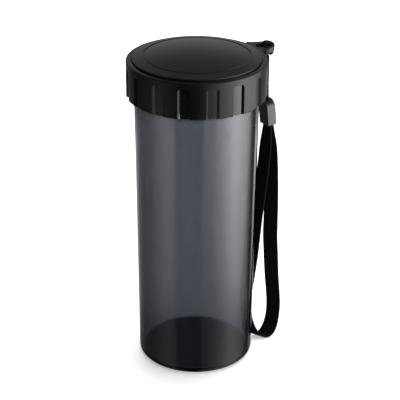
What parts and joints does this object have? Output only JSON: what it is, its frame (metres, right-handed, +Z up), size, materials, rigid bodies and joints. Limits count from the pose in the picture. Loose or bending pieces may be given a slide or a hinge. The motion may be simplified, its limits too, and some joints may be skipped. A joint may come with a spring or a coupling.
{
  "type": "drinking tumbler bottle",
  "caption": "Smoke-tinted cylindrical drinking tumbler with a black ribbed screw lid and a webbing wrist strap that hangs from an ear on the lid.",
  "frame": {"origin": "centre of the flat base, on the surface it stands on", "axes": "+Z up the vessel's axis, +X from the axis towards the lid's ear and the strap"},
  "size_m": [0.0943, 0.08, 0.1922],
  "materials": {
    "smoke_plastic": "polished, see-through smoke tint",
    "lid_plastic": "semi-gloss moulded black",
    "crown_plastic": "fine satin over gloss, moulded black",
    "liner_plastic": "plain moulded black",
    "seal_silicone": "soft silicone",
    "lanyard_braid": "braided polyester cord",
    "ferrule_plastic": "semi-gloss moulded black",
    "strap_webbing": "woven polyester webbing"
  },
  "bodies": {
    "vessel": {"tumbler_body": "smoke_plastic"},
    "seal": {"lid_seal": "seal_silicone"},
    "lid": {"lid_shell": "lid_plastic", "lid_crown": "crown_plastic", "lid_liner": "liner_plastic", "cord_hitch": "lanyard_braid"},
    "strap": {"lanyard_cord": "lanyard_braid", "cord_ferrule": "ferrule_plastic", "wrist_webbing": "strap_webbing"}
  },
  "joints": [
    {"name": "lid_lift", "type": "slide", "parent": "vessel", "child": "seal", "axis": [0, 0, 1], "range_m": [0, 0.0241]},
    {"name": "lid_turn", "type": "hinge", "parent": "seal", "child": "lid", "pos_m": [0, 0, 0.165], "axis": [0, 0, 1], "range_deg": [0, 720]},
    {"name": "strap_swing", "type": "hinge", "parent": "lid", "child": "strap", "pos_m": [0.04815, 0, 0.1848], "axis": [0, -1, 0], "range_deg": [0, 150]}
  ],
  "couplings": [
    {"joint": "lid_lift", "follows": "lid_turn", "m_per_rad": 0.0019099}
  ]
}
